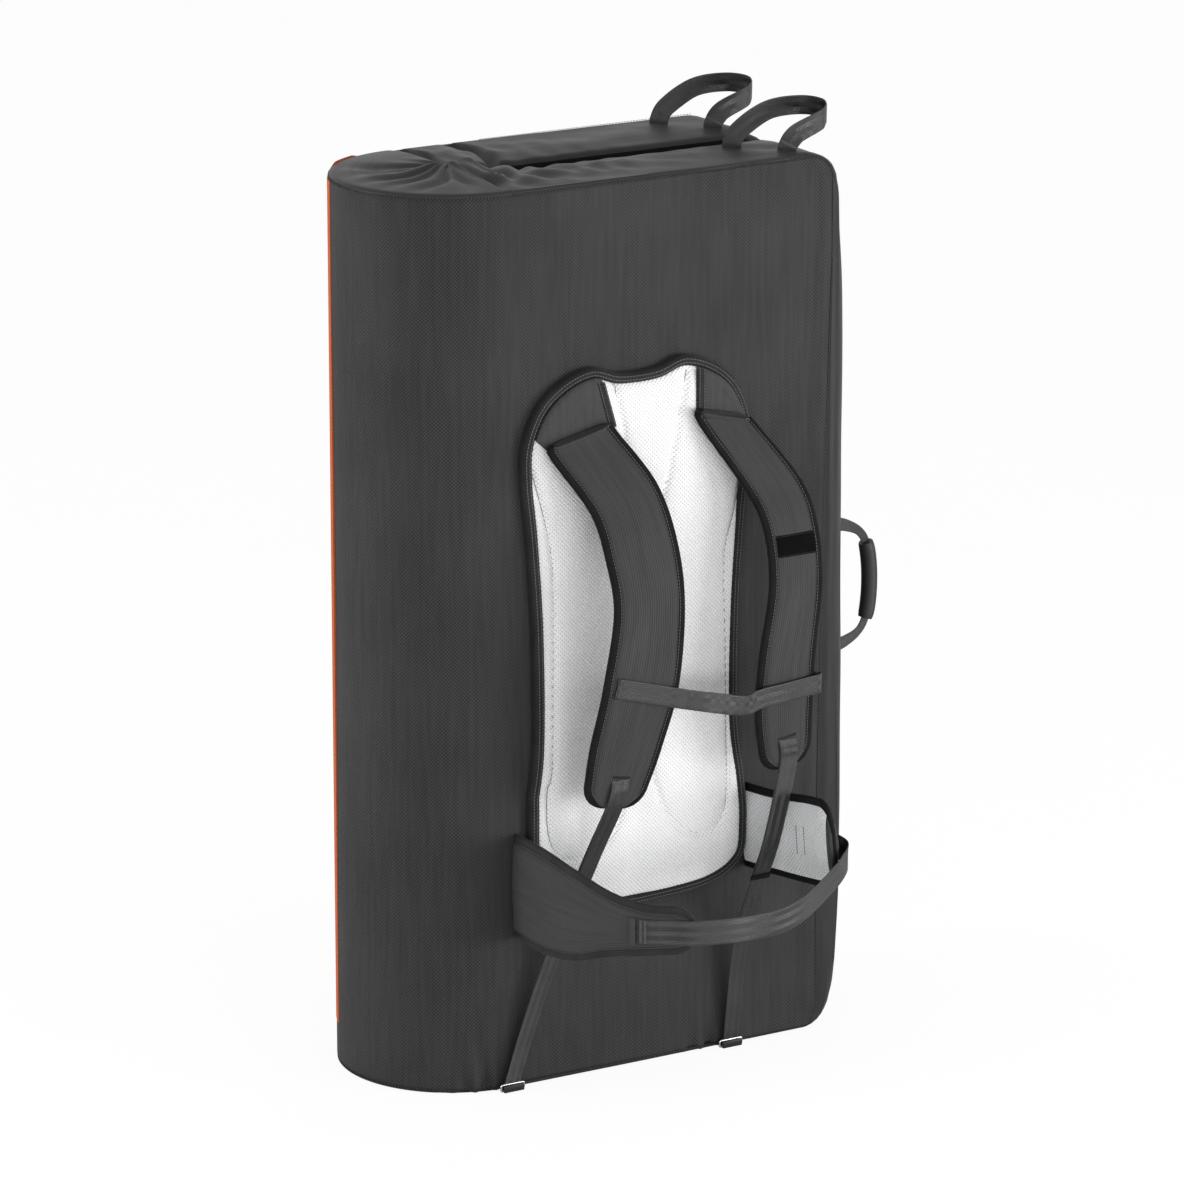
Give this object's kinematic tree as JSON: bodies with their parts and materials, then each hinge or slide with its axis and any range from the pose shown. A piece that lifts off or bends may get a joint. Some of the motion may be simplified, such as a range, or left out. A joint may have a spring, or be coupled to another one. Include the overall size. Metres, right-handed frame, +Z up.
{
  "type": "bouldering crash pad",
  "caption": "Thick folding foam landing pad that stands on its end, with a padded backpack harness, hip belt and carrying loops on its outside.",
  "frame": {"origin": "on the near half's flat bottom, in the middle of that half's thickness and of the folded width; the pad stands on the plane Z = 0", "axes": "+Z up along the folded pad, +X towards the open edge and the side handle, -Y towards the harness face"},
  "size_m": [0.7455, 0.6001, 1.2275],
  "materials": {
    "dark_ballistic_cloth": "matte",
    "black_landing_cloth": "matte",
    "orange_cloth": "matte",
    "open_cell_foam": "matte",
    "closed_cell_foam": "matte",
    "white_spacer_mesh": "matte",
    "grey_spacer_mesh": "matte",
    "black_binding": "matte",
    "strap_cloth": "matte",
    "dark_webbing": "satin",
    "woven_label": "matte",
    "polished_steel": "polished",
    "black_coated_steel": "satin",
    "soft_black_grip": "matte"
  },
  "bodies": {
    "near_half": {"near_foam": "open_cell_foam", "near_closed_cell_sheet": "closed_cell_foam", "near_outer_cover": "dark_ballistic_cloth", "near_landing_cover": "black_landing_cloth", "back_panel_mesh": "white_spacer_mesh", "back_panel_border": "black_binding", "yoke_left": "strap_cloth", "yoke_right": "strap_cloth", "lower_webbing_left": "dark_webbing", "lower_webbing_right": "dark_webbing", "buckle_frame_left": "polished_steel", "buckle_frame_right": "polished_steel", "buckle_tab_left": "dark_webbing", "buckle_tab_right": "dark_webbing"},
    "fold_slice_1": {"fold_foam_1": "open_cell_foam", "fold_cover_1": "dark_ballistic_cloth"},
    "fold_slice_2": {"fold_foam_2": "open_cell_foam", "fold_cover_2": "dark_ballistic_cloth"},
    "fold_slice_3": {"fold_foam_3": "open_cell_foam", "fold_cover_3": "dark_ballistic_cloth", "fold_panel_3": "orange_cloth"},
    "fold_slice_4": {"fold_foam_4": "open_cell_foam", "fold_cover_4": "dark_ballistic_cloth", "fold_panel_4": "orange_cloth"},
    "far_half": {"far_foam": "open_cell_foam", "far_closed_cell_sheet": "closed_cell_foam", "far_outer_cover": "dark_ballistic_cloth", "far_landing_cover": "black_landing_cloth", "far_outer_panel": "orange_cloth", "zip_chain": "black_binding"},
    "shoulder_harness": {"shoulder_strap_left": "strap_cloth", "shoulder_strap_right": "strap_cloth", "label_patch": "woven_label"},
    "sternum": {"sternum_strap": "dark_webbing"},
    "left_wing": {"hip_wing_left": "strap_cloth", "hip_lining_left": "grey_spacer_mesh"},
    "right_wing": {"hip_wing_right": "strap_cloth", "hip_lining_right": "grey_spacer_mesh", "belt_webbing": "dark_webbing", "belt_adjuster": "black_coated_steel"},
    "left_lever": {"buckle_lever_left": "black_coated_steel"},
    "right_lever": {"buckle_lever_right": "black_coated_steel"},
    "near_loop": {"top_loop_near": "dark_webbing"},
    "far_loop": {"top_loop_far": "dark_webbing"},
    "side_handle": {"side_handle_webbing": "dark_webbing", "side_handle_grip": "soft_black_grip"},
    "zip": {"zip_slider": "black_coated_steel"}
  },
  "joints": [
    {"name": "unfold_1", "type": "hinge", "parent": "near_half", "child": "fold_slice_1", "pos_m": [-0.175, -0.065, 0], "axis": [0, 0, 1], "range_deg": [0, 22.5]},
    {"name": "unfold_2", "type": "hinge", "parent": "fold_slice_1", "child": "fold_slice_2", "pos_m": [-0.28107, -0.02107, 0], "axis": [0, 0, 1], "range_deg": [0, 45]},
    {"name": "unfold_3", "type": "hinge", "parent": "fold_slice_2", "child": "fold_slice_3", "pos_m": [-0.325, 0.085, 0], "axis": [0, 0, 1], "range_deg": [0, 45]},
    {"name": "unfold_4", "type": "hinge", "parent": "fold_slice_3", "child": "fold_slice_4", "pos_m": [-0.28107, 0.19107, 0], "axis": [0, 0, 1], "range_deg": [0, 45]},
    {"name": "unfold_5", "type": "hinge", "parent": "fold_slice_4", "child": "far_half", "pos_m": [-0.175, 0.235, 0], "axis": [0, 0, 1], "range_deg": [0, 22.5]},
    {"name": "shoulder_harness_swing", "type": "hinge", "parent": "near_half", "child": "shoulder_harness", "pos_m": [0, -0.0872, 0.868], "axis": [-1, 0, 0], "range_deg": [0, 22]},
    {"name": "sternum_slide", "type": "slide", "parent": "shoulder_harness", "child": "sternum", "axis": [0.0802, -0.0902, 0.9927], "range_m": [-0.006, 0.006]},
    {"name": "left_wing_swing", "type": "hinge", "parent": "near_half", "child": "left_wing", "pos_m": [-0.16804, -0.0715, 0.272], "axis": [0, 0, 1], "range_deg": [0, 22]},
    {"name": "right_wing_swing", "type": "hinge", "parent": "near_half", "child": "right_wing", "pos_m": [0.17972, -0.0715, 0.298], "axis": [0, 0, 1], "range_deg": [0, 40]},
    {"name": "buckle_lever_left_turn", "type": "hinge", "parent": "near_half", "child": "left_lever", "pos_m": [-0.1798, -0.0788, 0.003], "axis": [1, 0, 0], "range_deg": [0, 80]},
    {"name": "buckle_lever_right_turn", "type": "hinge", "parent": "near_half", "child": "right_lever", "pos_m": [0.14948, -0.0788, 0.003], "axis": [1, 0, 0], "range_deg": [0, 80]},
    {"name": "near_loop_flop", "type": "hinge", "parent": "near_half", "child": "near_loop", "pos_m": [0.229, -0.005, 1.1706], "axis": [0.6576, -0.7534, 0], "range_deg": [-30, 30]},
    {"name": "far_loop_flop", "type": "hinge", "parent": "far_half", "child": "far_loop", "pos_m": [0.229, 0.1715, 1.1706], "axis": [0.6576, -0.7534, 0], "range_deg": [-30, 30]},
    {"name": "side_handle_flop", "type": "hinge", "parent": "near_half", "child": "side_handle", "pos_m": [0.3256, 0, 0.577], "axis": [0, 0, 1], "range_deg": [-50, 50]},
    {"name": "zip_slider_slide", "type": "slide", "parent": "far_half", "child": "zip", "axis": [0, 0, 1], "range_m": [0, 0.78]}
  ],
  "couplings": [
    {"joint": "unfold_2", "follows": "unfold_1", "ratio": 2},
    {"joint": "unfold_3", "follows": "unfold_1", "ratio": 2},
    {"joint": "unfold_4", "follows": "unfold_1", "ratio": 2},
    {"joint": "unfold_5", "follows": "unfold_1", "ratio": 1}
  ]
}
